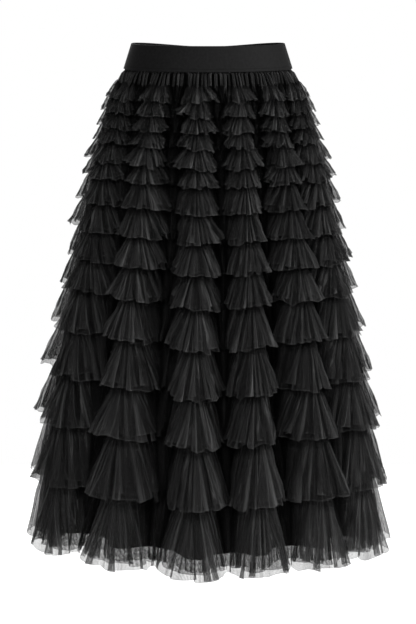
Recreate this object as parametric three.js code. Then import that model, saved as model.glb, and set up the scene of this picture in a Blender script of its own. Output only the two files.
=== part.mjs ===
// Tiered tulle skirt, filled out as it hangs from the waist: an elastic waistband, a lining, a gathered net
// underskirt over it and fifteen flounces sewn round that in rows. Millimetres, +Z up, the front faces -Y.
// The origin is the middle of the waist opening, half way up the waistband.
import * as THREE from "three";

// Driving dimensions
const BAND_HEIGHT = 38;
const BAND_WALL = 1.8;
const BAND_TOP = { halfWidth: 115, halfDepth: 86 };
const BAND_BOTTOM = { halfWidth: 127, halfDepth: 97 };
const CLOTH_WALL = 1.2;
const SEAM_GAP = 0.3;
const TUCK = 8; // how far the underskirt and the lining reach up inside the waistband
const BACK_SAG = 9.5; // how much lower the waistband hangs at the centre back than at the front
// How much higher the rows hang at the sides than in the middle, how much more so on the left, and how wide
// the level middle is, as a sine.
const SIDE_RISE = { mean: 13, leftwards: 5, middle: 0.42 };
const FIRST_SEAM_Z = -38;
const UNDERSKIRT_HEM_Z = -742;
const LINING_HEM_Z = -724;
const STEPS_PER_FLUTE = 7;
const UNDERSKIRT_SPREAD = -0.3; // how much a crest is broader than a valley, 0 for even waves
const FLOUNCE_SPREAD = { top: 0.5, lowest: 0.65 };
const SQUARENESS = 0.12; // flattens the crests and valleys of the folds

// The thirteen organ-pipe folds: where each crest lies round the skirt at the waist and at the hem,
// in degrees from centre front, and its depth as a share of the usual depth.
const FLUTES = [
  { waist: -61, hem: -65, depth: 1.0 },
  { waist: -34, hem: -32, depth: 1.1 },
  { waist: -6, hem: -4, depth: 1.0 },
  { waist: 19, hem: 18, depth: 0.95 },
  { waist: 43, hem: 42, depth: 1.1 },
  { waist: 67, hem: 70, depth: 1.0 },
  { waist: 94, hem: 97, depth: 0.9 },
  { waist: 122, hem: 124, depth: 0.95 },
  { waist: 150, hem: 151, depth: 1.1 },
  { waist: 180, hem: 179, depth: 1.0 },
  { waist: 209, hem: 207, depth: 1.05 },
  { waist: 238, hem: 236, depth: 0.95 },
  { waist: 268, hem: 265, depth: 0.85 },
];

// Sections of the underskirt from the waist down: height, half width over the crests, half depth as a share
// of that, and depth of a fold from crest to valley.
const SECTIONS = [
  { z: -22, halfWidth: 125, depthRatio: 0.765, fold: 1 },
  { z: -54, halfWidth: 144, depthRatio: 0.77, fold: 14 },
  { z: -173, halfWidth: 176, depthRatio: 0.78, fold: 34 },
  { z: -356, halfWidth: 210, depthRatio: 0.8, fold: 50 },
  { z: -554, halfWidth: 243, depthRatio: 0.815, fold: 60 },
  { z: LINING_HEM_Z, halfWidth: 260, depthRatio: 0.82, fold: 38 },
];

// The flounces from the top: height of the hem, how far the hem stands off the underskirt at a crest and in
// a valley, and how far the seam lies above the hem of the flounce over it.
const FLOUNCES = [
  { hem: -61, flare: 8, lift: 5, overlap: 0 },
  { hem: -83, flare: 11, lift: 5, overlap: 8 },
  { hem: -106, flare: 12, lift: 5, overlap: 8 },
  { hem: -129, flare: 12, lift: 5, overlap: 8 },
  { hem: -158, flare: 15, lift: 5, overlap: 9 },
  { hem: -184, flare: 16, lift: 6, overlap: 9 },
  { hem: -223, flare: 18, lift: 6, overlap: 9 },
  { hem: -265, flare: 19, lift: 6, overlap: 10 },
  { hem: -311, flare: 19, lift: 6, overlap: 10 },
  { hem: -359, flare: 20, lift: 7, overlap: 11 },
  { hem: -418, flare: 24, lift: 7, overlap: 12 },
  { hem: -487, flare: 23, lift: 7, overlap: 13 },
  { hem: -558, flare: 27, lift: 8, overlap: 14 },
  { hem: -646, flare: 29, lift: 8, overlap: 15 },
  { hem: -750, flare: 20, lift: 8, overlap: 16 },
];

const BLACK_ELASTIC = { color: 0x1c1c1d, roughness: 0.85, metalness: 0 };
const BLACK_TULLE = { color: 0x242425, roughness: 0.9, metalness: 0 };
const BLACK_LINING = { color: 0x101011, roughness: 0.8, metalness: 0 };

const COLUMNS = FLUTES.length * STEPS_PER_FLUTE;
const LOWEST_Z = FLOUNCES.at(-1).hem;
const lerp = THREE.MathUtils.lerp;

// A fold's height across one wave: 1 at the crest, -1 in the valley.
function wave(phase) {
  return (Math.cos(phase) - SQUARENESS * Math.cos(3 * phase)) / (1 - SQUARENESS);
}

// The crest of flute f at a height, in radians. Crests drift evenly from the waist to the hem.
function crestAngle(f, z) {
  const turns = Math.floor(f / FLUTES.length);
  const flute = FLUTES[f % FLUTES.length];
  return THREE.MathUtils.degToRad(lerp(flute.waist, flute.hem, z / LOWEST_Z) + 360 * turns);
}

// A ring of folded cloth at one height: each point lies on the mean ellipse of the section and is moved
// along the ellipse's normal by the wave.
function foldedRing({ z, halfWidth, halfDepth, fold, spread }) {
  const mean = { x: halfWidth - fold / 2, y: halfDepth - fold / 2 };
  return Array.from({ length: COLUMNS }, (_, column) => {
    const f = Math.floor(column / STEPS_PER_FLUTE);
    const share = (column % STEPS_PER_FLUTE) / STEPS_PER_FLUTE;
    const phase = 2 * Math.PI * share;
    const here = crestAngle(f, z);
    const gap = crestAngle(f + 1, z) - here;
    const angle = here + gap * (share + (spread * Math.sin(phase)) / (2 * Math.PI));
    const depth = lerp(FLUTES[f].depth, FLUTES[(f + 1) % FLUTES.length].depth, share);
    const normal = new THREE.Vector2(Math.sin(angle) * mean.y, -Math.cos(angle) * mean.x).normalize();
    const crest = (1 + wave(phase)) / 2;
    const out = (fold / 2) * (wave(phase) + (depth - 1) * crest);
    return new THREE.Vector3(
      mean.x * Math.sin(angle) + normal.x * out,
      -mean.y * Math.cos(angle) + normal.y * out,
      z,
    );
  });
}

// The outward normal, in the horizontal plane, of the side of a ring that runs from one point to the next.
function sideNormal(from, to) {
  return new THREE.Vector2(to.y - from.y, from.x - to.x).normalize();
}

// The ring moved outwards by a distance in the horizontal plane. Each point moves so far between its two
// sides that both sides end up that distance away, as at a mitred corner.
function movedOut(ring, distance) {
  return ring.map((point, i) => {
    const before = sideNormal(ring[(i + ring.length - 1) % ring.length], point);
    const after = sideNormal(point, ring[(i + 1) % ring.length]);
    const middle = before.clone().add(after).normalize();
    const reach = distance / middle.dot(after);
    return new THREE.Vector3(point.x + middle.x * reach, point.y + middle.y * reach, point.z);
  });
}

// How far a height has come on the way from one height to another, 0 before it and 1 past it.
function wayFrom(start, end, z) {
  return THREE.MathUtils.clamp((z - start) / (end - start), 0, 1);
}

// The height of a point as the skirt hangs. The waist sags towards the centre back: all of the sag at the
// waistband and none from the second section down. From there down, the rows rise away from the middle of the
// front and of the back, fully so at the fourth and fifth sections, and are level again at the hem but for
// their tilt to the left.
function hungZ({ x, y, z }) {
  const [, nearWaist, , farDown, nearHem, hem] = SECTIONS.map((section) => section.z);
  const side = x / Math.hypot(x, y);
  const back = Math.max(0, y) / Math.hypot(x, y);
  const sag = BACK_SAG * back ** 2 * wayFrom(nearWaist, -BAND_HEIGHT / 2, z);
  const atSides = 1 - Math.exp(-((side / SIDE_RISE.middle) ** 2));
  const rise = SIDE_RISE.mean * wayFrom(hem, nearHem, z) - SIDE_RISE.leftwards * side;
  return z - sag + rise * atSides * wayFrom(nearWaist, farDown, z);
}

// A closed wall of cloth through rings listed from the top down, half its thickness to each side of them.
// Each four-sided patch is split along the diagonal that bulges outwards, or along the other one, so that
// a flounce clears the cloth under it.
function clothWall(rings, thickness, bulgesOut) {
  const outer = rings.map((ring) => movedOut(ring, thickness / 2));
  const inner = rings.map((ring) => movedOut(ring, -thickness / 2));
  const loop = [...outer, ...inner.reverse()];
  const columns = rings[0].length;
  const positions = loop.flat().flatMap((p) => [p.x, p.y, hungZ(p)]);
  const reach = (p, q) => Math.hypot(p.x + q.x, p.y + q.y);
  const triangles = [];
  for (let row = 0; row < loop.length; row++) {
    const next = (row + 1) % loop.length;
    for (let i = 0; i < columns; i++) {
      const j = (i + 1) % columns;
      const [a, b, c, d] = [row * columns + i, row * columns + j, next * columns + j, next * columns + i];
      const firstIsOuter = reach(loop[row][i], loop[next][j]) > reach(loop[row][j], loop[next][i]);
      if (firstIsOuter === bulgesOut) triangles.push(a, d, c, a, c, b);
      else triangles.push(a, d, b, b, d, c);
    }
  }
  const geometry = new THREE.BufferGeometry();
  geometry.setAttribute("position", new THREE.Float32BufferAttribute(positions, 3));
  geometry.setIndex(triangles);
  geometry.computeVertexNormals();
  return geometry;
}

function namedMesh(name, geometry, finish) {
  const material = new THREE.MeshStandardMaterial({ ...finish, side: THREE.DoubleSide });
  const mesh = new THREE.Mesh(geometry, material);
  mesh.name = name;
  return mesh;
}

// The waistband's own middle line at one height, smooth all round.
function bandRing(z, { halfWidth, halfDepth }) {
  const half = BAND_WALL / 2;
  return foldedRing({
    z,
    halfWidth: halfWidth - half,
    halfDepth: halfDepth - half,
    fold: 0,
    spread: UNDERSKIRT_SPREAD,
  });
}

const BAND_RINGS = [bandRing(BAND_HEIGHT / 2, BAND_TOP), bandRing(-BAND_HEIGHT / 2, BAND_BOTTOM)];

// The band's middle line between its two edges, where the underskirt is tucked in.
function bandRingAt(z) {
  const share = (BAND_HEIGHT / 2 - z) / BAND_HEIGHT;
  return BAND_RINGS[0].map((point, i) => point.clone().lerp(BAND_RINGS[1][i], share));
}

function waistband() {
  return namedMesh("waistband", clothWall(BAND_RINGS, BAND_WALL, true), BLACK_ELASTIC);
}

const TUCK_OFFSET = -(BAND_WALL / 2 + SEAM_GAP + CLOTH_WALL / 2);
const LAYER_OFFSET = CLOTH_WALL + SEAM_GAP; // from the middle of one layer of cloth to that of the next
const TUCKED_RINGS = [TUCK - BAND_HEIGHT / 2, -BAND_HEIGHT / 2].map((z) =>
  movedOut(bandRingAt(z), TUCK_OFFSET),
);
const LINED_RINGS = [
  ...TUCKED_RINGS,
  ...SECTIONS.map(({ z, halfWidth, depthRatio, fold }) =>
    foldedRing({ z, halfWidth, halfDepth: halfWidth * depthRatio, fold, spread: UNDERSKIRT_SPREAD }),
  ),
];

// The underskirt's middle line at any height, straight between its rings and carried on below the last.
function underskirtRingAt(z) {
  const below = LINED_RINGS.findIndex((ring) => ring[0].z <= z);
  const lower = below < 0 ? LINED_RINGS.length - 1 : Math.max(below, 1);
  const [top, bottom] = [LINED_RINGS[lower - 1], LINED_RINGS[lower]];
  const share = (top[0].z - z) / (top[0].z - bottom[0].z);
  return top.map((point, i) => point.clone().lerp(bottom[i], share));
}

function underskirt() {
  const rings = [...LINED_RINGS, underskirtRingAt(UNDERSKIRT_HEM_Z)];
  return namedMesh("net_underskirt", clothWall(rings, CLOTH_WALL, false), BLACK_TULLE);
}

// The lining hangs just inside the underskirt and ends above its hem.
function lining() {
  const rings = LINED_RINGS.map((ring) => movedOut(ring, -LAYER_OFFSET));
  return namedMesh("lining", clothWall(rings, CLOTH_WALL, false), BLACK_LINING);
}

// The section that the underskirt has at any height, between the rows of its table.
function sectionAt(z) {
  const below = SECTIONS.findIndex((section) => section.z <= z);
  const lower = below < 0 ? SECTIONS.length - 1 : Math.max(below, 1);
  const [top, bottom] = [SECTIONS[lower - 1], SECTIONS[lower]];
  const share = (top.z - z) / (top.z - bottom.z);
  const halfWidth = lerp(top.halfWidth, bottom.halfWidth, share);
  return {
    halfWidth,
    halfDepth: halfWidth * lerp(top.depthRatio, bottom.depthRatio, share),
    fold: lerp(top.fold, bottom.fold, share),
  };
}

// One flounce: its seam lies on the underskirt's own points, moved out, and its hem stands off by the flare
// at the crests and by the lift in the valleys.
function flounce({ hem, flare, lift, overlap }, index) {
  const seamZ = index === 0 ? FIRST_SEAM_Z : FLOUNCES[index - 1].hem + overlap;
  const seam = movedOut(underskirtRingAt(seamZ), LAYER_OFFSET);
  const under = sectionAt(hem);
  const edge = foldedRing({
    z: hem,
    halfWidth: under.halfWidth + flare,
    halfDepth: under.halfDepth + flare,
    fold: under.fold + flare - lift,
    spread: lerp(FLOUNCE_SPREAD.top, FLOUNCE_SPREAD.lowest, hem / LOWEST_Z),
  });
  const number = String(index + 1).padStart(2, "0");
  return namedMesh(`flounce_${number}`, clothWall([seam, edge], CLOTH_WALL, true), BLACK_TULLE);
}

const skirt = new THREE.Group();
skirt.add(waistband(), lining(), underskirt(), ...FLOUNCES.map(flounce));

export default skirt;
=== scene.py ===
"""The finish of a tiered tulle skirt: ribbed elastic, a smooth lining, a gathered net layer and its flounces.

Run as a script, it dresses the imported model, which stays the frame. Lengths in the tables are millimetres, as
a maker writes them, and everything in the scene is metres, +Z up, with the front facing -Y.
"""

import math
from collections import namedtuple

import bpy
import numpy as np
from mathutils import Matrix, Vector


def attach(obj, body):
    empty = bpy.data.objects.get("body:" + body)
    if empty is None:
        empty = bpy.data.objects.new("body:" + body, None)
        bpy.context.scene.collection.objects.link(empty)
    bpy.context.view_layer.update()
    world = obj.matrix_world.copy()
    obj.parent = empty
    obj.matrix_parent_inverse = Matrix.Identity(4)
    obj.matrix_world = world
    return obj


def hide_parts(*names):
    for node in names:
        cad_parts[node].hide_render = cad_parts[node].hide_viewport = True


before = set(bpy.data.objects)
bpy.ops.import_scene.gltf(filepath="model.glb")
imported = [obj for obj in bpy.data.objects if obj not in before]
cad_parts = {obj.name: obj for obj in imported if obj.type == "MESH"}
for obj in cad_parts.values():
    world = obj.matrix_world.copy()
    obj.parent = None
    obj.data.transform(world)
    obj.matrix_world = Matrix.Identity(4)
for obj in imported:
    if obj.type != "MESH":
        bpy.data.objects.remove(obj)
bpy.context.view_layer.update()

bl_info = {
    "name": "Tiered Tulle Skirt",
    "version": (1, 0, 0),
    "blender": (4, 5, 0),
    "location": "3D View > Sidebar > Skirt",
    "description": "Makes the elastic, lining, net and flounces of a tiered tulle skirt, and its studio",
    "category": "Object",
}

MM = 0.001
FULL_TURN = 2 * math.pi

# The organ-pipe folds round the skirt: where each crest lies at the waist and at the hem, in degrees from
# centre front, its depth as a share of the usual depth, and how high a small fold of the flounces stands in
# the valley after it, as a share of the fold.
Flute = namedtuple("Flute", "waist hem depth between")
FLUTES = (
    Flute(-61, -65, 1.0, 0.3),
    Flute(-34, -32, 1.1, 0.34),
    Flute(-6, -4, 1.0, 0.12),
    Flute(19, 18, 0.95, 0.1),
    Flute(43, 42, 1.1, 0.3),
    Flute(67, 70, 1.0, 0.3),
    Flute(94, 97, 0.9, 0.25),
    Flute(122, 124, 0.95, 0.3),
    Flute(150, 151, 1.1, 0.2),
    Flute(180, 179, 1.0, 0.3),
    Flute(209, 207, 1.05, 0.2),
    Flute(238, 236, 0.95, 0.3),
    Flute(268, 265, 0.85, 0.25),
)
FLUTE_COUNT = len(FLUTES)

# Sections of the net layer from the waist down: height, half width over the crests, half depth as a share of
# that, and depth of a fold from crest to valley.
Section = namedtuple("Section", "z half_width depth_ratio fold")
SECTIONS = (
    Section(-22, 125, 0.765, 1),
    Section(-54, 144, 0.77, 14),
    Section(-173, 176, 0.78, 34),
    Section(-356, 210, 0.8, 50),
    Section(-554, 243, 0.815, 60),
    Section(-724, 260, 0.82, 38),
)

# The flounces from the top: height of the hem and of the seam, and how far the hem stands off the net layer
# at a crest and in a valley.
Flounce = namedtuple("Flounce", "hem seam flare lift")
FLOUNCES = (
    Flounce(-61, -38, 8, 5),
    Flounce(-83, -53, 11, 5),
    Flounce(-106, -75, 12, 5),
    Flounce(-129, -98, 12, 5),
    Flounce(-158, -120, 15, 5),
    Flounce(-184, -149, 16, 6),
    Flounce(-223, -175, 18, 6),
    Flounce(-265, -213, 19, 6),
    Flounce(-311, -255, 19, 6),
    Flounce(-359, -300, 20, 7),
    Flounce(-418, -348, 24, 7),
    Flounce(-487, -406, 23, 7),
    Flounce(-558, -474, 27, 8),
    Flounce(-646, -543, 29, 8),
    Flounce(-750, -630, 20, 8),
)
BAND_WALL = 1.8
BAND_HALF = 19
BAND_LENGTH = 0.69  # the elastic's cut length, in metres
BAND_COLUMNS = 520  # points round the waistband
TUCK_TOP = -11  # how far the lining and the underskirt reach up inside the waistband
LINING_HEM = -724
UNDERSKIRT_HEM = -742
STITCH_LINE = 0.0355  # how far down the band's cloth its seam is stitched, in metres
BAND_TOP = (115, 86)
BAND_BOTTOM = (127, 97)
BACK_SAG = 9.5  # how much lower the waistband hangs at the centre back than at the front
# How much higher the rows hang at the sides, how much more so on the left, and how wide the level middle is.
SIDE_RISE = (13, 5, 0.42)
HEM_RISE = 10  # how much higher the lining and the lowest hem hang at the sides
CLOTH_WALL = 1.2
SEAM_GAP = 0.3
LAYER_OFFSET = CLOTH_WALL + SEAM_GAP  # from the middle of one layer of cloth to that of the next
UNDERSKIRT_SPREAD = -0.3
FLOUNCE_SPREAD = (0.5, 0.65)  # how broad the crests are at the top flounce's hem and at the lowest one's
FLOUNCE_FOLDS = (150, 84)  # fine folds round a flounce, down to the twelfth and on the lowest one
SQUARENESS = 0.12
GATHERS = 112  # gathers round the waist
GATHER_SEED = 21
GATHER_UNEVENNESS = 1.3
GATHER_TOP = -21  # where the gathers start to stand out, just below the waistband
LINING_CUT = (1.9, 0.72)  # the lining's width round and its depth, laid flat, in metres
UNDERSKIRT_CUT = (2.6, 0.74)  # the same of the net underskirt
FLOUNCE_SEED = 1000
FLOUNCE_ROWS = 11  # rows of points down a flounce
EDGE_HEIGHT = 1.6  # height of a flounce's last row, which is its crisp edge
SEAM_BUNCHING = 0.85  # how much of a flounce is gathered on the crests at its seam: 0 is even, 1 is all of it
HEM_SHADOW = 15  # how far down a flounce the shade under the hem above it reaches
LOWEST_Z = -750

# Patterns on the flat cloth: how fast the noise of streaks and of the painted highlight lines of wrinkles
# runs across and down it, per metre, how wide such a line is as a share of the noise, and the pitch of weave,
# cords and loops in metres.
STREAK_RATE = (170.0, 5.0)
WRINKLE_HIGHLIGHT_RATE = (75.0, 3.0)
WRINKLE_HIGHLIGHT_WIDTH = 0.028
WEAVE_PITCH = 0.0006
CORD_PITCH = 0.0011
LOOP_PITCH = 0.0008

# The studio's lamps: where each stands and how wide it is, in metres, and its power as a share of the
# setting.
Lamp = namedtuple("Lamp", "name spot size share")
LAMPS = (
    Lamp("key", (2.4, -1.0, 1.3), 1.0, 1.3),
    Lamp("front", (-0.3, -2.7, 1.8), 1.0, 0.7),
    Lamp("back", (-0.6, 2.4, 1.6), 1.4, 0.6),
)
LAMP_AIM = (0.0, 0.0, -0.35)
FLOOR_REACH = 2.0  # from the middle of the floor to its edges, in metres
WHITE = (1.0, 1.0, 1.0, 1.0)


# Folds


def wave(phase):
    """A fold's height across one wave, 1 at the crest and -1 in the valley: a cosine less a share of its
    third harmonic, which flattens both."""
    return (np.cos(phase) - SQUARENESS * np.cos(3 * phase)) / (1 - SQUARENESS)


def folded_ring(s, z, half_width, half_depth, fold, spread, sway=None, depth_sway=None, small_folds=0.0):
    """Points of folded cloth at place s, counted in flutes round the skirt, and height z, in millimetres.

    Each point lies on the section's mean ellipse and is moved along the ellipse's normal by the wave. The
    angle runs from one crest to the next, and a sine of the phase, times spread, makes crests broader.
    sway and depth_sway move each crest sideways, in degrees, and change its depth. small_folds raises a
    rounded ridge in the middle of each valley, by the table's share of the fold.
    """
    flute = np.floor(s).astype(int) % FLUTE_COUNT
    share = s - np.floor(s)
    phase = FULL_TURN * share
    drift = z / LOWEST_Z
    waist = np.array([f.waist for f in FLUTES] + [FLUTES[0].waist + 360.0])
    hem = np.array([f.hem for f in FLUTES] + [FLUTES[0].hem + 360.0])
    moved = np.zeros(FLUTE_COUNT) if sway is None else np.asarray(sway)
    here = waist[flute] + (hem[flute] - waist[flute]) * drift + moved[flute]
    there = waist[flute + 1] + (hem[flute + 1] - waist[flute + 1]) * drift + moved[(flute + 1) % FLUTE_COUNT]
    angle = np.radians(here + (there - here) * (share + spread * np.sin(phase) / FULL_TURN))
    depths = np.array([f.depth for f in FLUTES])
    if depth_sway is not None:
        depths = depths + depth_sway
    depth = depths[flute] + (depths[(flute + 1) % FLUTE_COUNT] - depths[flute]) * share
    mean_x = half_width - fold / 2
    mean_y = half_depth - fold / 2
    normal = np.stack([np.sin(angle) * mean_y, -np.cos(angle) * mean_x], -1)
    normal /= np.linalg.norm(normal, axis=-1, keepdims=True)
    height = wave(phase)
    out = fold / 2 * (height + (depth - 1) * (1 + height) / 2)
    between = np.array([f.between for f in FLUTES])[flute]
    out = out + small_folds * fold * between * np.exp(-(((share - 0.5) / 0.15) ** 2))
    x = mean_x * np.sin(angle) + normal[..., 0] * out
    y = -mean_y * np.cos(angle) + normal[..., 1] * out
    return np.stack([x, y, np.broadcast_to(z, x.shape)], -1)


def outward(points):
    """The horizontal unit normals and tangents of closed rings of points: a tangent is the difference of a
    point's two neighbours, and the normal is square to it."""
    ahead = np.roll(points, -1, axis=-2) - np.roll(points, 1, axis=-2)
    ahead[..., 2] = 0
    ahead /= np.linalg.norm(ahead, axis=-1, keepdims=True)
    normal = np.stack([ahead[..., 1], -ahead[..., 0], np.zeros_like(ahead[..., 0])], -1)
    return normal, ahead


def section_at(z):
    """Half width, half depth and fold of the net layer at height z: straight between the rows of the table,
    and on by the last row's slope below it."""
    heights = [row.z for row in SECTIONS][::-1]
    last, before = SECTIONS[-1], SECTIONS[-2]
    run = np.minimum((z - last.z) / (last.z - before.z), 1.0) if z < last.z else 0.0
    values = []
    for name in ("half_width", "depth_ratio", "fold"):
        column = [getattr(row, name) for row in SECTIONS][::-1]
        value = np.interp(z, heights, column)
        values.append(value + run * (getattr(last, name) - getattr(before, name)))
    half_width, ratio, fold = values
    return half_width, half_width * ratio, fold


def way_from(start, end, z):
    """How far a height has come on the way from one height to another, 0 before it and 1 past it."""
    return np.clip((z - start) / (end - start), 0, 1)


def hung(points):
    """Points at the heights where they hang. The waist sags towards the centre back, by the square of the
    sine of the angle: all of the sag at the waistband and none from the second section down. From there down,
    the rows rise away from the middle of the front and of the back, by one less a bell of the sideways sine,
    a little less so at the hem, and more on the left."""
    x, y, z = points.T
    _, near_waist, _, far_down, near_hem, hem = (section.z for section in SECTIONS)
    mean, leftwards, middle = SIDE_RISE
    side = x / np.hypot(x, y)
    back = np.maximum(0, y) / np.hypot(x, y)
    sag = BACK_SAG * back**2 * way_from(near_waist, -BAND_HALF, z)
    at_sides = 1 - np.exp(-((side / middle) ** 2))
    rise = HEM_RISE + (mean - HEM_RISE) * way_from(hem, near_hem, z) - leftwards * side
    return np.stack([x, y, z - sag + rise * at_sides * way_from(near_waist, far_down, z)], -1)


def net_layer_ring(s, z):
    """The net layer's own ring at one height."""
    half_width, half_depth, fold = section_at(z)
    return folded_ring(s, z, half_width, half_depth, fold, UNDERSKIRT_SPREAD)


def round_noise(s, lowest, highest, seed):
    """Smooth noise that closes on itself round the skirt: a sum of cosines of whole numbers of waves from
    lowest to highest, with seeded phases and heights, scaled to a spread of 1."""
    rng = np.random.default_rng(seed)
    waves = np.arange(lowest, highest + 1)
    heights = rng.uniform(0.4, 1.0, len(waves))
    phases = rng.uniform(0, FULL_TURN, len(waves))
    turns = FULL_TURN * np.asarray(s)[..., None] / FLUTE_COUNT
    noise = (heights * np.cos(waves * turns + phases)).sum(-1)
    return noise / np.sqrt((heights**2).sum() / 2)


def sheet_noise(s, v, round_waves, down_waves, count, seed):
    """Smooth noise over a sheet: a sum of slanted cosines, whole numbers of waves round and any number
    down, scaled to a spread of 1."""
    rng = np.random.default_rng(seed)
    total = np.zeros(np.broadcast(s, v).shape)
    for _ in range(count):
        across = rng.integers(round_waves[0], round_waves[1] + 1)
        down = rng.uniform(*down_waves) * rng.choice([-1, 1])
        total += np.cos(FULL_TURN * (across * s / FLUTE_COUNT + down * v) + rng.uniform(0, FULL_TURN))
    return total / math.sqrt(count / 2)


# Meshes


class Tube:
    """A tube of cloth as rows of points, closed round the skirt: its quads, its UV map in metres of the flat
    cloth, how sharply it is creased, which the net draws denser and with a painted highlight, and its depth,
    the mask of painted shade in its folds and under the hem above. Each column's share of the flat width is
    its share of the length round, as the mean of all rows. A ring tube, such as the waistband's wall, also
    joins its last row to its first."""

    def __init__(self, points, width, down, crease=0.0, depth=0.0, ring=False, start=0.0):
        rows, columns = points.shape[:2]
        self.points = points.reshape(-1, 3)
        self.crease = np.broadcast_to(crease, (rows, columns)).ravel()
        self.depth = np.broadcast_to(depth, (rows, columns)).ravel()
        index = np.arange(rows * columns).reshape(rows, columns)
        fall = np.asarray(down)[:-1] if ring else np.asarray(down)
        v = np.broadcast_to(-fall[:, None], (rows, columns))
        if ring:
            index = np.vstack([index, index[:1]])
            v = np.vstack([v, np.full((1, columns), -down[-1])])
        beside = np.roll(index, -1, axis=1)
        self.quads = np.stack([index[:-1], index[1:], beside[1:], beside[:-1]], -1).reshape(-1, 4)
        lengths = np.linalg.norm(np.roll(points, -1, axis=1) - points, axis=-1).mean(0)
        u = start + width * np.append(0, np.cumsum(lengths)) / lengths.sum()
        left = np.broadcast_to(u[:-1], beside[1:].shape)
        right = np.broadcast_to(u[1:], beside[1:].shape)
        corner_u = np.stack([left, left, right, right], -1)
        corner_v = np.stack([v[:-1], v[1:], v[1:], v[:-1]], -1)
        self.uv = np.stack([corner_u, corner_v], -1).reshape(-1, 2)


def cloth_piece(piece_name, *tubes):
    """One object of the tubes: their points as they hang, turned from millimetres to metres."""
    starts = np.cumsum([0] + [len(tube.points) for tube in tubes])
    points = hung(np.concatenate([tube.points for tube in tubes])) * MM
    quads = np.concatenate([tube.quads + start for tube, start in zip(tubes, starts)])
    mesh = bpy.data.meshes.new(piece_name)
    mesh.vertices.add(len(points))
    mesh.vertices.foreach_set("co", points.astype(np.float32).ravel())
    mesh.loops.add(quads.size)
    mesh.loops.foreach_set("vertex_index", quads.astype(np.int32).ravel())
    mesh.polygons.add(len(quads))
    mesh.polygons.foreach_set("loop_start", np.arange(0, quads.size, 4, dtype=np.int32))
    mesh.update(calc_edges=True)
    uv = mesh.uv_layers.new(name="cloth")
    uv.data.foreach_set("uv", np.concatenate([tube.uv for tube in tubes]).astype(np.float32).ravel())
    # The crease marks denser net with a painted highlight, and the depth marks painted shade, for the net's
    # material.
    for name, values in (("crease", [t.crease for t in tubes]), ("depth", [t.depth for t in tubes])):
        layer = mesh.attributes.new(name, "FLOAT", "POINT")
        layer.data.foreach_set("value", np.concatenate(values).astype(np.float32))
    mesh.shade_smooth()
    piece = bpy.data.objects.new(piece_name, mesh)
    bpy.context.scene.collection.objects.link(piece)
    return piece


# Shaders


class Value:
    """A socket with arithmetic: an expression on two values adds one Math node."""

    def __init__(self, tree, socket):
        self.tree = tree
        self.socket = socket

    def _math(self, operation, *others):
        """One Math node of this value and others."""
        return self.tree.node("ShaderNodeMath", {"operation": operation}, self, *others)

    def __add__(self, other):
        return self._math("ADD", other)

    def __mul__(self, other):
        return self._math("MULTIPLY", other)

    def __sub__(self, other):
        return self._math("SUBTRACT", other)

    def __rsub__(self, other):
        return self.tree.node("ShaderNodeMath", {"operation": "SUBTRACT"}, other, self)

    def cosine(self):
        """The cosine of this value in radians."""
        return self._math("COSINE")

    def absolute(self):
        """This value without its sign."""
        return self._math("ABSOLUTE")


class Shader:
    """One material's node tree."""

    def __init__(self, name):
        self.material = bpy.data.materials.new(name)
        self.material.use_nodes = True
        self.nodes = self.material.node_tree.nodes
        self.links = self.material.node_tree.links
        self.nodes.clear()

    def node(self, kind, settings=None, *inputs, out=0, **named):
        """Adds a node: its settings first, then values or links for its sockets, by place or by name."""
        made = self.nodes.new(kind)
        for key, value in (settings or {}).items():
            setattr(made, key, value)
        given = list(enumerate(inputs)) + [(key.replace("_", " "), value) for key, value in named.items()]
        for key, value in given:
            if isinstance(value, Value):
                self.links.new(value.socket, made.inputs[key])
            elif value is not None:
                made.inputs[key].default_value = value
        return Value(self, made.outputs[out])

    def cloth(self):
        """Where a point lies on the flat cloth, in metres."""
        return self.node("ShaderNodeUVMap", {"uv_map": "cloth"})

    def carried(self, name):
        """A value that the mesh carries at each point, from the third output of its node."""
        return self.node("ShaderNodeAttribute", {"attribute_name": name}, out=2)

    def smooth_step(self, value, start, end):
        """1 where the value is at start and 0 where it is at end, by a smooth step between them."""
        settings = {"interpolation_type": "SMOOTHSTEP"}
        return self.node("ShaderNodeMapRange", settings, value, start, end, 1.0, 0.0)

    def stretched_noise(self, across, down, rates, detail):
        """Noise on the flat cloth, drawn out down it: its place is each coordinate times its own rate."""
        place = self.node("ShaderNodeCombineXYZ", None, across * rates[0], down * rates[1], 0.0)
        return self.node("ShaderNodeTexNoise", {"noise_dimensions": "2D"}, place, Scale=1.0, Detail=detail)

    def blend(self, share, low, high):
        """A colour between two by a share, on the seventh and eighth sockets of its node."""
        mixed = self.node("ShaderNodeMix", {"data_type": "RGBA"}, share, out=2)
        mixed.socket.node.inputs[6].default_value = low
        mixed.socket.node.inputs[7].default_value = high
        return mixed

    def split(self, vector):
        """A vector's three parts."""
        first = self.node("ShaderNodeSeparateXYZ", None, vector)
        outputs = first.socket.node.outputs
        return [Value(self, outputs[i]) for i in range(3)]

    def finish(self, surface):
        """Joins the surface to the output and returns the material."""
        output = self.nodes.new("ShaderNodeOutputMaterial")
        self.links.new(surface.socket, output.inputs["Surface"])
        return self.material


def grey(level):
    """A grey of one level, with a fiftieth more blue."""
    return (level, level, level * 1.02, 1.0)


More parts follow.
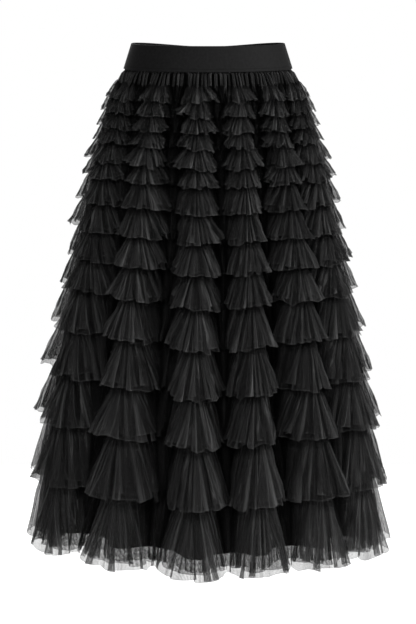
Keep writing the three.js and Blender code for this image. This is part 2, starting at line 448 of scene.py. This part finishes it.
def net_material(name, settings):
    """Soft tulle. Three cosines at 120 degrees add up to hexagonal holes with threads between them, on the
    cloth's own coordinates. Streaks of denser net run down the cloth. A crease, where the net lies doubled,
    is denser, and lighter by a painted highlight, and fine wrinkle lines are painted highlights too. Where the
    depth mask lies, deep in a fold and, on the flounces, under the hem above, the net is thinner, and darker
    by painted shade."""
    shader = Shader(name)
    across, down, _ = shader.split(shader.cloth())
    turn = 4 * math.pi / (math.sqrt(3) * settings.net_cell)
    lattice = (
        (across * turn).cosine()
        + (across * (-turn / 2) + down * (turn * math.sqrt(3) / 2)).cosine()
        + (across * (-turn / 2) - down * (turn * math.sqrt(3) / 2)).cosine()
    )
    thread = shader.smooth_step(lattice, -1.0, 0.4)
    streak = shader.stretched_noise(across, down, STREAK_RATE, 3.0)
    crease = shader.carried("crease")
    depth = shader.carried("depth")
    low = settings.net_opacity * 0.4
    high = settings.net_opacity * 1.8
    net = (thread * (high - low) + low) * (streak * 0.5 + 0.75) * (1.0 - depth * settings.valley_thinning)
    # The fine wrinkle lines are painted highlights, left out where the painted shade lies.
    wrinkle = shader.stretched_noise(across, down, WRINKLE_HIGHLIGHT_RATE, 1.0)
    line = shader.smooth_step((wrinkle - 0.5).absolute(), 0.0, WRINKLE_HIGHLIGHT_WIDTH)
    creased = crease + line * settings.wrinkle_highlight * (1.0 - depth)
    # Painted shade darkens the net by its depth mask, and painted highlights lighten its creases and wrinkle
    # lines.
    light = (streak * 0.7 + 0.65) * (1.0 - depth * settings.valley_shade) + creased * settings.crease_highlight
    alpha = net + crease * settings.crease_density * (1.0 - net)
    alpha = shader.node("ShaderNodeClamp", None, alpha, 0.0, 1.0)
    tone = shader.node("ShaderNodeCombineColor", None, *[light * settings.net_grey for _ in range(3)])
    crumple = shader.node("ShaderNodeBump", None, Strength=0.25, Distance=0.0006, Height=streak)
    surface = shader.node(
        "ShaderNodeBsdfPrincipled",
        None,
        Base_Color=tone,
        Roughness=0.85,
        Alpha=alpha,
        Normal=crumple,
        Sheen_Weight=settings.net_sheen,
        Sheen_Roughness=0.35,
        Sheen_Tint=(0.3, 0.3, 0.31, 1.0),
        Specular_IOR_Level=0.03,
    )
    return shader.finish(surface)


def lining_material(settings):
    """A smooth woven lining: two crossed sets of fine threads on the cloth's own coordinates."""
    shader = Shader("black_lining")
    across, down, _ = shader.split(shader.cloth())
    turn = FULL_TURN / WEAVE_PITCH
    weave = (across * turn).cosine() * (down * turn).cosine()
    bump = shader.node("ShaderNodeBump", None, Strength=0.2, Distance=0.0001, Height=weave)
    surface = shader.node(
        "ShaderNodeBsdfPrincipled",
        None,
        Base_Color=grey(settings.lining_grey),
        Roughness=0.7,
        Normal=bump,
        Specular_IOR_Level=0.05,
    )
    return shader.finish(surface)


def elastic_material(settings):
    """Knitted elastic: fine cords run round the band, crossed by the loops of its yarn, and a narrow groove
    where the seam is stitched near its lower edge. Its colour follows the bump: mottled by the yarn's grain,
    and darker by painted shade in the hollows between cords and loops and in the groove."""
    shader = Shader("black_elastic")
    cloth = shader.cloth()
    across, down, _ = shader.split(cloth)
    cords = (down * (FULL_TURN / CORD_PITCH)).cosine()
    loops = (across * (FULL_TURN / LOOP_PITCH)).cosine()
    fluff = shader.node("ShaderNodeTexNoise", None, cloth, Scale=240.0, Detail=4.0)
    seam = shader.smooth_step((down + STITCH_LINE).absolute(), 0.0, 0.0008)
    height = cords * 0.4 + loops * 0.2 + fluff * 2.0 - seam * 1.2
    bump = shader.node("ShaderNodeBump", None, Strength=0.35, Distance=0.0002, Height=height)
    # The colour is the yarn's grain from the fluff, and painted shade in the hollows and the seam's groove.
    shade = shader.node("ShaderNodeMapRange", None, height, 0.2, 1.8, 0.0, 1.0)
    colour = shader.blend(shade, grey(settings.elastic_grey * 0.3), grey(settings.elastic_grey * 1.6))
    surface = shader.node(
        "ShaderNodeBsdfPrincipled",
        None,
        Base_Color=colour,
        Roughness=0.7,
        Normal=bump,
        Sheen_Weight=0.15,
        Sheen_Roughness=0.3,
        Sheen_Tint=(0.5, 0.5, 0.5, 1.0),
        Specular_IOR_Level=0.12,
    )
    return shader.finish(surface)


# Settings


class SkirtCloth(bpy.types.PropertyGroup):
    """Sizes and colours of the cloth."""

    net_cell: bpy.props.FloatProperty(
        name="Net cell", description="Width of one hole of the net", default=0.0013, unit="LENGTH"
    )
    net_opacity: bpy.props.FloatProperty(
        name="Net opacity",
        description="Share of light that one layer of net stops",
        default=0.5,
        subtype="FACTOR",
    )
    net_grey: bpy.props.FloatProperty(
        name="Net grey", description="Brightness of the net's yarn", default=0.0205, subtype="FACTOR"
    )
    # A painted highlight on the net's creases and on each flounce's hem edge.
    crease_highlight: bpy.props.FloatProperty(
        name="Crease light",
        description="How much lighter a crease is, as a multiple of the net's grey",
        default=2.6,
    )
    # Painted highlight lines of fine wrinkles in the net.
    wrinkle_highlight: bpy.props.FloatProperty(
        name="Wrinkles",
        description="How strongly fine creased lines show in the net",
        default=0.85,
        subtype="FACTOR",
    )
    crease_density: bpy.props.FloatProperty(
        name="Crease density",
        description="How much of the light a crease stops",
        default=0.5,
        subtype="FACTOR",
    )
    # Painted shade: how much darker the net is drawn where its depth mask lies.
    valley_shade: bpy.props.FloatProperty(
        name="Valley shade",
        description="How much darker net deep in a fold is",
        default=1.0,
        subtype="FACTOR",
    )
    valley_thinning: bpy.props.FloatProperty(
        name="Valley thinning",
        description="How much thinner net deep in a fold is",
        default=0.15,
        subtype="FACTOR",
    )
    net_sheen: bpy.props.FloatProperty(
        name="Net sheen",
        description="Strength of the soft shine on the net's folds",
        default=0.05,
        subtype="FACTOR",
    )
    lining_grey: bpy.props.FloatProperty(
        name="Lining grey", description="Brightness of the lining", default=0.0015, subtype="FACTOR"
    )
    elastic_grey: bpy.props.FloatProperty(
        name="Elastic grey", description="Brightness of the waistband", default=0.0067, subtype="FACTOR"
    )


class SkirtStudio(bpy.types.PropertyGroup):
    """The camera, the lights and the floor."""

    camera_place: bpy.props.FloatVectorProperty(
        name="Camera place",
        description="Where the camera stands",
        default=(0.0, -4.018, 0.2236),
        unit="LENGTH",
    )
    camera_pitch: bpy.props.FloatProperty(
        name="Camera pitch",
        description="How far the camera looks down",
        default=math.radians(8.663),
        subtype="ANGLE",
    )
    camera_lens: bpy.props.FloatProperty(
        name="Lens", description="Focal length for a 36 mm long side", default=154.12, unit="CAMERA"
    )
    floor_drop: bpy.props.FloatProperty(
        name="Floor drop", description="How far the floor lies under the waist", default=1.05, unit="LENGTH"
    )
    sky_strength: bpy.props.FloatProperty(
        name="Soft light", description="Strength of the light from all round", default=0.2
    )
    floor_glow: bpy.props.FloatProperty(
        name="Floor glow", description="Light that the white floor adds of its own", default=0.75
    )
    key_watts: bpy.props.FloatProperty(
        name="Key light", description="Power of the large light at the front", default=60.0, unit="POWER"
    )


# Pieces


def place(piece, node, slot, material):
    """Hands a finished piece to the frame: it rides on the one body and stands for its solid."""
    piece.data.materials.append(material)
    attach(piece, "root")
    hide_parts(node)


class SKIRT_OT_waistband(bpy.types.Operator):
    """Makes the wide elastic waistband"""

    bl_idname = "skirt.waistband"
    bl_label = "Waistband"

    def execute(self, context):
        """Carries the wall's rounded section round the band: each of its points lies out from the band's
        middle line, along the normal there."""
        rounding = BAND_WALL / 2
        straight = BAND_HALF - rounding
        s = np.linspace(0, FLUTE_COUNT, BAND_COLUMNS, endpoint=False)
        turn = np.radians(np.linspace(0, 180, 9))
        # The section runs over the upper edge, down the outside, round the lower edge and up the inside.
        over = [(-rounding * math.cos(a), straight + rounding * math.sin(a)) for a in turn]
        outside = [(rounding, z) for z in np.linspace(straight, -straight, 27)[1:-1]]
        under = [(rounding * math.cos(a), -straight - rounding * math.sin(a)) for a in turn]
        inside = [(-rounding, z) for z in np.linspace(-straight, straight, 27)[1:-1]]
        section = np.array(over + outside + under + inside)
        rows = []
        for out, z in section:
            ring = band_ring(s, z)
            rows.append(ring + outward(ring)[0] * out)
        loop = np.vstack([section, section[:1]])
        down = np.concatenate([[0], np.cumsum(np.hypot(*np.diff(loop, axis=0).T))]) * MM
        width = BAND_LENGTH
        piece = cloth_piece("waistband_elastic", Tube(np.stack(rows), width, down, ring=True))
        place(piece, "waistband", "elastic", elastic_material(context.scene.skirt_cloth))
        return {"FINISHED"}


def band_ring(s, z):
    """The middle line of the waistband at height z: an ellipse that widens evenly from the upper edge to the
    lower one."""
    share = (BAND_HALF - z) / (2 * BAND_HALF)
    half_width = BAND_TOP[0] + (BAND_BOTTOM[0] - BAND_TOP[0]) * share - BAND_WALL / 2
    half_depth = BAND_TOP[1] + (BAND_BOTTOM[1] - BAND_TOP[1]) * share - BAND_WALL / 2
    return folded_ring(s, z, half_width, half_depth, 0, 0)


def tucked_ring(s, z, inset):
    """Cloth that hangs from inside the waistband at height z: its ring, moved in by an inset where the band
    covers it, and the net underskirt's own ring below."""
    if z > SECTIONS[0].z:
        ring = band_ring(s, max(z, -BAND_HALF))
        ring[..., 2] = z
        return ring - outward(ring)[0] * (BAND_WALL / 2 + SEAM_GAP + CLOTH_WALL / 2 + inset)
    ring = net_layer_ring(s, z)
    return ring - outward(ring)[0] * inset


def fold_phase(s, folds, seed, unevenness=2.2):
    """The phase of fine folds round the skirt: even folds, moved by smooth noise times an unevenness, so that
    their widths vary."""
    return FULL_TURN * folds * s / FLUTE_COUNT + unevenness * round_noise(s, 9, 50, seed)


def fold_creases(phase, s, seed):
    """How sharply the cloth is creased at a phase: two narrow bells, at the two edges of each fold's crest,
    which are strong on some folds and absent from others."""
    total = 0.0
    for number, edge in enumerate((1.03, -1.03)):
        away = (phase - edge + np.pi) % FULL_TURN - np.pi
        strength = np.clip(0.35 + 0.55 * round_noise(s, 20, 110, seed + number), 0, 1)
        total = total + strength * np.exp(-((away / 0.45) ** 2))
    return np.clip(total, 0, 1)


def gathered_layer(heights, columns_per_fold, folds, inset, depth_at, seed):
    """A layer of cloth gathered into the waistband: at each height its ring, with fine folds across it that
    deepen or fade as depth_at says, each lapped over the next by a sine of twice its phase. Returns its
    points, creases and how deep each point lies in its fold, the mask of painted shade in the valleys."""
    s = np.linspace(0, FLUTE_COUNT, folds * columns_per_fold, endpoint=False)
    phase = fold_phase(s, folds, seed, GATHER_UNEVENNESS)
    height = np.clip(0.9 + 0.3 * round_noise(s, 30, 110, seed + 1), 0.3, 1.4)
    # Creases, where the net is drawn denser and with a painted highlight.
    crease = fold_creases(phase, s, seed + 2)
    rows, creases, shade_masks = [], [], []
    for z in heights:
        ring = tucked_ring(s, z, inset)
        normal, tangent = outward(ring)
        depth = depth_at(z)
        spacing = np.linalg.norm(np.roll(ring, -1, axis=0) - ring, axis=-1) * columns_per_fold
        lap = min(1.0, depth)
        side = 0.16 * spacing * height * np.sin(2 * phase) * lap
        rows.append(ring + normal * (depth * height * np.cos(phase))[:, None] + tangent * side[:, None])
        creases.append(crease * lap)
        # How deep the point lies in its fold: the mask of painted shade in the valleys.
        shade_masks.append(((1 - np.cos(phase)) / 2) ** 1.6 * lap)
    return np.stack(rows), np.stack(creases), np.stack(shade_masks)


def gather_depth(z):
    """How far the gathers under the waistband stand in and out at height z: almost flat inside the band,
    below it more by even steps up to a full depth, and all of it times an exponential that fades towards
    the hem."""
    if z > GATHER_TOP:
        return 0.25
    return min(3.0, 0.3 + 0.7 * (GATHER_TOP - z)) * math.exp((z + 40) / 130)


class SKIRT_OT_lining(bpy.types.Operator):
    """Makes the smooth lining"""

    bl_idname = "skirt.lining"
    bl_label = "Lining"

    def execute(self, context):
        """Gathers the lining just inside the net underskirt."""
        top, hem = TUCK_TOP, LINING_HEM
        heights = np.concatenate(
            [np.linspace(top, -20, 3), np.linspace(-24, -80, 8), np.linspace(-110, hem, 16)]
        )

        def depth_at(z):
            """Four fifths of the gathers' depth."""
            return gather_depth(z) * 0.8

        points, _, _ = gathered_layer(heights, 8, GATHERS, LAYER_OFFSET, depth_at, GATHER_SEED)
        width, length = LINING_CUT
        piece = cloth_piece("lining_cloth", Tube(points, width, (top - heights) * MM))
        place(piece, "lining", "lining", lining_material(context.scene.skirt_cloth))
        return {"FINISHED"}


class SKIRT_OT_net_underskirt(bpy.types.Operator):
    """Makes the gathered net underskirt that carries the flounces"""

    bl_idname = "skirt.net_underskirt"
    bl_label = "Net underskirt"

    def execute(self, context):
        """Gathers the net. Its folds are shaded down to 60 mm below the waist, and evenly less from there to
        120 mm, where the shade ends."""
        top, hem = TUCK_TOP, UNDERSKIRT_HEM
        heights = np.concatenate(
            [np.linspace(top, -20, 3), np.linspace(-22, -60, 12), np.linspace(-90, hem, 22)]
        )

        def depth_at(z):
            """The gathers' depth, and 2.2 mm more by an even rise from 300 to 700 mm below the waist."""
            return gather_depth(z) + 2.2 * np.clip((-300 - z) / 400, 0, 1)

        points, crease, fold_shade = gathered_layer(heights, 12, GATHERS, 0.0, depth_at, GATHER_SEED)
        width, length = UNDERSKIRT_CUT
        # Painted shade in the valleys of the gathers near the waist.
        depth = fold_shade * np.clip((heights + 120) / 60, 0, 1)[:, None]
        tube = Tube(points, width, (top - heights) * MM, crease, depth)
        piece = cloth_piece("net_underskirt_net", tube)
        place(piece, "net_underskirt", "tulle", bpy.data.materials["black_tulle"])
        return {"FINISHED"}


def down_shares(length):
    """How far down a flounce each row of points lies: even steps, and a short last one for the hem's edge."""
    return np.append(np.linspace(0, 1 - EDGE_HEIGHT / length, FLOUNCE_ROWS - 1), 1.0)


def fold_count(index):
    """How many fine folds a flounce has: the first continues the gathers under the waistband, and from the
    twelfth to the lowest there are fewer and broader ones, by even steps."""
    if index == 0:
        return GATHERS
    usual, lowest = FLOUNCE_FOLDS
    return round(np.interp(index, (11, len(FLOUNCES) - 1), (usual, lowest)))


def flounce_rings(index, ply, s, bunched):
    """The rings that one ply of a flounce hangs between. The seam's ring lies just outside the net layer. The
    hem's ring is the net layer's, wider by the flare, with each crest moved and deepened at random, and the
    inner ply's is smaller by an inset."""
    seed = FLOUNCE_SEED + 20 * index
    rng = np.random.default_rng(seed)
    hem_z, seam_z, flare, lift = FLOUNCES[index]
    seam = net_layer_ring(bunched, seam_z)
    seam = seam + outward(seam)[0] * (LAYER_OFFSET - 0.8 * ply)
    if index == 0:
        seam[:, 2] += 1.4 * round_noise(s, 40, 120, seed + 3)
    half_width, half_depth, fold = section_at(hem_z)
    inset = ply * (7 + 0.05 * (seam_z - hem_z))
    hem = folded_ring(
        s,
        hem_z,
        half_width + flare - inset,
        half_depth + flare - inset,
        fold + flare - lift - 0.8 * inset,
        FLOUNCE_SPREAD[0] + (FLOUNCE_SPREAD[1] - FLOUNCE_SPREAD[0]) * hem_z / LOWEST_Z,
        sway=rng.normal(0, 1.5, FLUTE_COUNT),
        depth_sway=rng.normal(0, 0.07, FLUTE_COUNT),
        small_folds=1.0,
    )
    return seam, hem


def hanging_lines(seam, hem, share, v, length, bow):
    """Cloth between a seam's ring and a hem's ring. A line goes outwards by the power bow of its way down.
    Every line is as long as the ones on the crests, so by Pythagoras the hem rises where a line also runs
    sideways, within limits."""
    run = np.linalg.norm((hem - seam)[:, :2], axis=-1)
    on_crest = np.minimum(share, 1 - share) < 0.04
    cloth_length = math.hypot(length, run[on_crest].mean())
    fall = np.sqrt(np.clip(cloth_length**2 - run**2, (0.8 * length) ** 2, (1.07 * length) ** 2))
    reach = (v**bow)[..., None]
    points = seam * (1 - reach) + hem * reach
    points[..., 2] = seam[:, 2] * (1 - v) + (hem[:, 2] + length - fall) * v
    return points


def valley_share(share, hem_z):
    """How far a place lies in the valley between two crests: 0 on the fans and 1 in the valley, by a smooth
    step past the fan's edge, and less by a bell on the small fold in the valley's middle."""
    fan_edge = np.interp(hem_z, (-223, -106), (0.32, 0.26))
    valley = np.clip((np.minimum(share, 1 - share) - fan_edge) / 0.09, 0, 1)
    valley = valley * valley * (3 - 2 * valley)
    in_small_fold = np.exp(-(((share - 0.5) / 0.06) ** 2))
    return valley * (1 - 0.35 * in_small_fold)


def flounce_ply(index, ply, columns_per_fold):
    """One ply of a flounce: its points from the seam to the hem, its creases and the mask of painted shade on
    it.

    Lines join the seam's ring to the hem's ring. At the seam the cloth is bunched towards the crests, by a
    sine of its place between two crests, so that it spreads like a fan. Fine folds lie across the lines: each
    moves the cloth out and in by a cosine of its phase and sideways by a sine of twice the phase, and laps
    over its neighbour. On the lowest flounce the sine is of the phase itself, so that each crest is one broad
    panel. The folds are shallow at the skirt's two sides. Slanted noise crumples the cloth, more so lower
    down. Painted shade darkens it in the valleys, under the hem above and, a little, between the fine folds.
    Its creases and its hem's edge carry a painted highlight, which fades in the valleys.
    """
    seed = FLOUNCE_SEED + 20 * index
    own = seed + 7 * ply
    hem_z, seam_z, _, _ = FLOUNCES[index]
    length = seam_z - hem_z
    first, lowest = index == 0, index == len(FLOUNCES) - 1
    folds = fold_count(index)
    s = np.linspace(0, FLUTE_COUNT, folds * columns_per_fold, endpoint=False)
    v = down_shares(length)[:, None]
    share = s % 1
    bunching = 0.35 if first else SEAM_BUNCHING
    bunched = s - bunching * np.sin(FULL_TURN * share) / FULL_TURN
    seam, hem = flounce_rings(index, ply, s, bunched)
    points = hanging_lines(seam, hem, share, v, length, 0.65 if index < 2 else 0.85)
    normal, tangent = outward(points)
    spacing = np.linalg.norm(np.roll(points, -1, axis=1) - points, axis=-1) * columns_per_fold
    if first:
        phase = fold_phase(bunched, folds, GATHER_SEED, GATHER_UNEVENNESS) + np.zeros_like(v)
    else:
        phase = fold_phase(s, folds, own + 1) + v * 0.9 * round_noise(s, 10, 50, own + 2)
    height = np.clip(0.8 + 0.45 * round_noise(s, 20, 90, own + 3), 0.1, 1.6)
    sideways = np.abs(hem[:, 0]) / np.hypot(hem[:, 0], hem[:, 1])
    height = height * (1 - 0.75 * np.clip((sideways - 0.955) / 0.035, 0, 1))
    fine = np.minimum(spacing * 0.4, 1.1 + 4 * v * min(1.0, length / 50)) * height
    out = fine * np.cos(phase)
    lap = np.interp(length, (50, 110, 120), (0.17, 0.27, 0.34))
    side = spacing * lap * height * np.sin((1 if lowest else 2) * phase) * (0.3 + 0.7 * v)
    crumpled = np.interp(length, (50, 110), (0.8, 0.4))
    crinkle = sheet_noise(s[None, :], v, (60, 180), (0.5, 2.5), 14, own + 4) * (0.3 + crumpled * v)
    points = points + normal * (out + crinkle)[..., None] + tangent * side[..., None]
    edge = round_noise(s, 20, 110, own + 5) * 1.5 + ply * (1.5 + 0.045 * length)
    points[..., 2] += edge * v**2
    # The valley's share is the mask of painted shade between the fans.
    valley = valley_share(share, hem_z)
    crease = fold_creases(phase, s, own + 6) * (0.25 + 0.75 * v)
    # The hem's edge is drawn as a crease too: denser, with a painted highlight.
    crease[-1] = np.maximum(crease[-1], 0.6)
    # Creases and their painted highlight fade in the valleys' painted shade.
    crease = crease * (1 - 0.9 * valley)
    hem_above = seam_z if first else FLOUNCES[index - 1].hem
    # A painted shadow under the hem above, fading out over HEM_SHADOW millimetres.
    shadow = np.clip(1 - (hem_above - seam_z + v * length) / HEM_SHADOW, 0, 1)
    # The mask of painted shade: full in the valleys and under the hem above, a little between the fine folds.
    depth = 1 - (1 - valley) * (1 - 0.9 * shadow) * (0.8 + 0.2 * np.cos(phase))
    return points, crease, depth


def mean_girth(points):
    """The mean length round of a tube's rows, measured along its folds."""
    return np.linalg.norm(np.roll(points, -1, axis=1) - points, axis=-1).sum(1).mean()


def mean_drop(points):
    """The mean length down a tube's columns, measured along the cloth."""
    return np.linalg.norm(np.diff(points, axis=0), axis=-1).sum(0).mean()


class SKIRT_OT_flounces(bpy.types.Operator):
    """Makes the fifteen gathered flounces of net"""

    bl_idname = "skirt.flounces"
    bl_label = "Flounces"

    def execute(self, context):
        """Makes each flounce of two plies. Its cut is as long as both are round, as the mean of their rows,
        and as deep as the outer one is down, as the mean of its columns."""
        for index in range(len(FLOUNCES)):
            name = f"flounce_{index + 1:02d}"
            columns_per_fold = 8 + 2 * max(0, index - 11)
            plies = [flounce_ply(index, ply, columns_per_fold) for ply in range(2)]
            width = round(sum(mean_girth(points) for points, _, _ in plies) * MM, 2)
            cut_depth = round(mean_drop(plies[0][0]) * MM, 3)
            down = down_shares(cut_depth / MM) * cut_depth
            tubes = [
                Tube(points, width / 2, down, crease, depth, start=ply * width / 2)
                for ply, (points, crease, depth) in enumerate(plies)
            ]
            piece = cloth_piece(f"{name}_net", *tubes)
            place(piece, name, "tulle", bpy.data.materials["black_tulle"])
        return {"FINISHED"}


def make_sky(scene, settings):
    """A white world: soft light from all round, and full white where the camera sees past the floor."""
    world = bpy.data.worlds.new("soft_sky")
    world.use_nodes = True
    nodes, links = world.node_tree.nodes, world.node_tree.links
    sky = nodes["Background"]
    sky.inputs["Color"].default_value = WHITE
    sky.inputs["Strength"].default_value = settings.sky_strength
    backdrop = nodes.new("ShaderNodeBackground")
    backdrop.inputs["Color"].default_value = WHITE
    seen = nodes.new("ShaderNodeLightPath")
    choice = nodes.new("ShaderNodeMixShader")
    links.new(seen.outputs["Is Camera Ray"], choice.inputs["Fac"])
    links.new(sky.outputs["Background"], choice.inputs[1])
    links.new(backdrop.outputs["Background"], choice.inputs[2])
    links.new(choice.outputs["Shader"], nodes["World Output"].inputs["Surface"])
    scene.world = world


def make_floor(scene, settings):
    """A square pale floor under the waist, by the setting's drop, that glows a little of its own."""
    z = -settings.floor_drop
    reach = FLOOR_REACH
    corners = [(-reach, -reach, z), (reach, -reach, z), (reach, reach, z), (-reach, reach, z)]
    mesh = bpy.data.meshes.new("floor")
    mesh.from_pydata(corners, [], [(0, 1, 2, 3)])
    floor = bpy.data.objects.new("floor", mesh)
    scene.collection.objects.link(floor)
    finish = Shader("pale_floor")
    surface = finish.node(
        "ShaderNodeBsdfPrincipled",
        None,
        Base_Color=(0.9, 0.9, 0.9, 1.0),
        Roughness=0.9,
        Emission_Color=WHITE,
        Emission_Strength=settings.floor_glow,
    )
    mesh.materials.append(finish.finish(surface))


def make_lamps(scene, settings):
    """Wide lamps that face the middle of the skirt, each with its share of the setting's power."""
    aim = Vector(LAMP_AIM)
    for name, spot, size, share in LAMPS:
        light = bpy.data.lights.new(name, "AREA")
        light.size = size
        light.energy = settings.key_watts * share
        lamp = bpy.data.objects.new(name, light)
        lamp.location = spot
        lamp.rotation_euler = (aim - lamp.location).to_track_quat("-Z", "Y").to_euler()
        scene.collection.objects.link(lamp)


def make_camera(scene, settings):
    """A camera in front of the skirt: a quarter turn up from straight down, less its pitch."""
    camera = bpy.data.cameras.new("camera")
    camera.lens = settings.camera_lens
    camera.sensor_width = 36.0
    stand = bpy.data.objects.new("camera", camera)
    stand.location = settings.camera_place
    stand.rotation_euler = (math.pi / 2 - settings.camera_pitch, 0.0, 0.0)
    scene.collection.objects.link(stand)
    scene.camera = stand


class SKIRT_OT_studio(bpy.types.Operator):
    """Makes the floor, the soft light and the camera"""

    bl_idname = "skirt.studio"
    bl_label = "Studio"

    def execute(self, context):
        """Makes the studio and shows colours as they are."""
        scene = context.scene
        settings = scene.skirt_studio
        make_sky(scene, settings)
        scene.view_settings.view_transform = "Standard"
        scene.cycles.transparent_max_bounces = 24
        make_floor(scene, settings)
        make_lamps(scene, settings)
        make_camera(scene, settings)
        return {"FINISHED"}


class SKIRT_PT_panel(bpy.types.Panel):
    """Lists the pieces of the skirt"""

    bl_label = "Tiered skirt"
    bl_idname = "SKIRT_PT_panel"
    bl_space_type = "VIEW_3D"
    bl_region_type = "UI"
    bl_category = "Skirt"

    def draw(self, context):
        """Lists the operators and then the settings."""
        for operator in OPERATORS:
            self.layout.operator(operator.bl_idname)
        for group in (context.scene.skirt_cloth, context.scene.skirt_studio):
            for name in group.__annotations__:
                self.layout.prop(group, name)


OPERATORS = (
    SKIRT_OT_waistband,
    SKIRT_OT_lining,
    SKIRT_OT_net_underskirt,
    SKIRT_OT_flounces,
    SKIRT_OT_studio,
)
CLASSES = (SkirtCloth, SkirtStudio, *OPERATORS, SKIRT_PT_panel)


def register():
    """Adds the settings, the operators and the panel."""
    for made in CLASSES:
        bpy.utils.register_class(made)
    bpy.types.Scene.skirt_cloth = bpy.props.PointerProperty(type=SkirtCloth)
    bpy.types.Scene.skirt_studio = bpy.props.PointerProperty(type=SkirtStudio)


def unregister():
    """Takes them away again, last first."""
    del bpy.types.Scene.skirt_studio
    del bpy.types.Scene.skirt_cloth
    for made in reversed(CLASSES):
        bpy.utils.unregister_class(made)


def main():
    """Makes each piece and the studio."""
    register()
    bpy.ops.skirt.waistband()
    bpy.ops.skirt.lining()
    net_material("black_tulle", bpy.context.scene.skirt_cloth)
    bpy.ops.skirt.net_underskirt()
    bpy.ops.skirt.flounces()
    bpy.ops.skirt.studio()


if __name__ == "__main__":
    main()
